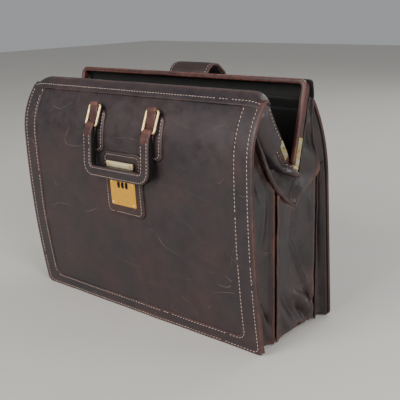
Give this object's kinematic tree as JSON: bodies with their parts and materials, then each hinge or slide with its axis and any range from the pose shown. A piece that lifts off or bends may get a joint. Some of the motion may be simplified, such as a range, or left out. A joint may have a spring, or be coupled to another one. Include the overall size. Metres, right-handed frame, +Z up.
{
  "type": "leather briefcase",
  "caption": "Expanding frame-top leather briefcase standing open, with hinged frame halves, folded gussets, ring-hung handles, a combination lock plate and a closing strap.",
  "frame": {"origin": "centre of the flat base, where the case stands", "axes": "+X along the front panel to the right, +Y from the front panel to the back panel, +Z up"},
  "size_m": [0.457, 0.2253, 0.3684],
  "materials": {
    "leather": "satin, scuffed",
    "leather_red": "satin, worn at the edges",
    "leather_dark": "satin",
    "lining": "matte",
    "brass": "polished, worn",
    "lock_gold": "satin",
    "steel": "satin",
    "wheel": "satin"
  },
  "bodies": {
    "case": {"base_leather": "leather_dark", "base_board": "lining", "base_lining": "lining", "divider_front": "lining", "divider_rear": "lining", "divider_binding_front": "leather_red", "divider_binding_rear": "leather_red", "gusset_right_front": "leather_dark", "gusset_right_main": "leather_dark", "gusset_right_rear": "leather_dark", "gusset_right_top": "leather_dark", "gusset_left_front": "leather_dark", "gusset_left_main": "leather_dark", "gusset_left_rear": "leather_dark", "gusset_left_top": "leather_dark"},
    "frame_hinge": {"hinge_rivets": "brass", "hinge_spacers": "brass"},
    "front_frame": {"front_frame_bar": "steel", "front_frame_cover": "leather_red", "front_skirt": "leather", "front_hinge_plates": "brass", "front_plate_screws": "steel", "front_arm_rolls": "leather"},
    "back_frame": {"back_frame_bar": "steel", "back_frame_cover": "leather_red", "back_skirt": "leather", "back_hinge_plates": "brass", "back_plate_screws": "steel", "strap_base": "leather", "strap_base_rivets": "brass"},
    "front_panel": {"front_panel": "leather", "front_border": "leather", "front_lining": "lining", "front_chapes": "leather", "lock_tab": "leather", "lock_plate": "lock_gold", "lock_rivets": "brass", "lock_case": "steel", "keeper_bar": "brass", "keeper_rivets": "brass"},
    "back_panel": {"back_panel": "leather", "back_border": "leather", "back_lining": "lining", "back_chapes": "leather"},
    "front_rings": {"front_ring_left": "brass", "front_ring_right": "brass"},
    "front_handle": {"front_handle": "leather"},
    "back_rings": {"back_ring_left": "brass", "back_ring_right": "brass"},
    "back_handle": {"back_handle": "leather"},
    "wheel_1": {"number_wheel_1": "wheel"},
    "wheel_2": {"number_wheel_2": "wheel"},
    "wheel_3": {"number_wheel_3": "wheel"},
    "strap_link_1": {"strap_link_1": "leather"},
    "strap_link_2": {"strap_link_2": "leather"},
    "strap_tail": {"strap_tail": "leather", "hasp": "lock_gold", "hasp_rivets": "brass"}
  },
  "joints": [
    {"name": "hinge_drop", "type": "slide", "parent": "case", "child": "frame_hinge", "axis": [0, 0, -1], "range_m": [0, 0.0141]},
    {"name": "front_frame_swing", "type": "hinge", "parent": "frame_hinge", "child": "front_frame", "pos_m": [0, -0.006, 0.242], "axis": [-1, 0, 0], "range_deg": [0, 27], "deforming": ["front_skirt", "front_arm_rolls", "gusset_right_top", "gusset_left_top"]},
    {"name": "back_frame_swing", "type": "hinge", "parent": "frame_hinge", "child": "back_frame", "pos_m": [0, -0.006, 0.242], "axis": [1, 0, 0], "range_deg": [0, 10.05], "deforming": ["back_skirt"]},
    {"name": "front_panel_lean", "type": "hinge", "parent": "case", "child": "front_panel", "pos_m": [0, -0.0802, 0.0025], "axis": [-1, 0, 0], "range_deg": [0, 9.05], "deforming": ["gusset_right_front", "gusset_left_front"]},
    {"name": "back_panel_lean", "type": "hinge", "parent": "case", "child": "back_panel", "pos_m": [0, 0.0802, 0.0025], "axis": [1, 0, 0], "range_deg": [0, 2.55], "deforming": ["gusset_right_rear", "gusset_left_rear"]},
    {"name": "front_ring_swing", "type": "hinge", "parent": "front_panel", "child": "front_rings", "pos_m": [0, -0.10215, 0.3185], "axis": [-1, 0, 0], "range_deg": [0, 130]},
    {"name": "front_handle_swing", "type": "hinge", "parent": "front_rings", "child": "front_handle", "pos_m": [0, -0.11348, 0.29], "axis": [-1, 0, 0], "range_deg": [0, 70]},
    {"name": "back_ring_swing", "type": "hinge", "parent": "back_panel", "child": "back_rings", "pos_m": [0, 0.04915, 0.3125], "axis": [1, 0, 0], "range_deg": [0, 130]},
    {"name": "back_handle_swing", "type": "hinge", "parent": "back_rings", "child": "back_handle", "pos_m": [0, 0.06589, 0.284], "axis": [1, 0, 0], "range_deg": [0, 60]},
    {"name": "number_wheel_1_turn", "type": "hinge", "parent": "front_panel", "child": "wheel_1", "pos_m": [0, -0.10732, 0.208], "axis": [1, 0, 0], "continuous": true},
    {"name": "number_wheel_2_turn", "type": "hinge", "parent": "front_panel", "child": "wheel_2", "pos_m": [0, -0.10732, 0.208], "axis": [1, 0, 0], "continuous": true},
    {"name": "number_wheel_3_turn", "type": "hinge", "parent": "front_panel", "child": "wheel_3", "pos_m": [0, -0.10732, 0.208], "axis": [1, 0, 0], "continuous": true},
    {"name": "strap_root_bend", "type": "hinge", "parent": "back_frame", "child": "strap_link_1", "pos_m": [0, 0.0352, 0.352], "axis": [1, 0, 0], "range_deg": [0, 60]},
    {"name": "strap_crown_bend", "type": "hinge", "parent": "strap_link_1", "child": "strap_link_2", "pos_m": [0, 0.05048, 0.36783], "axis": [1, 0, 0], "range_deg": [0, 140]},
    {"name": "strap_tail_bend", "type": "hinge", "parent": "strap_link_2", "child": "strap_tail", "pos_m": [0, 0.07789, 0.35562], "axis": [1, 0, 0], "range_deg": [0, 105]}
  ],
  "couplings": [
    {"joint": "hinge_drop", "follows": "front_frame_swing", "m_per_rad": 0.029709},
    {"joint": "back_frame_swing", "follows": "front_frame_swing", "ratio": 0.37037},
    {"joint": "front_panel_lean", "follows": "front_frame_swing", "ratio": 0.33333},
    {"joint": "back_panel_lean", "follows": "front_frame_swing", "ratio": 0.092593}
  ]
}
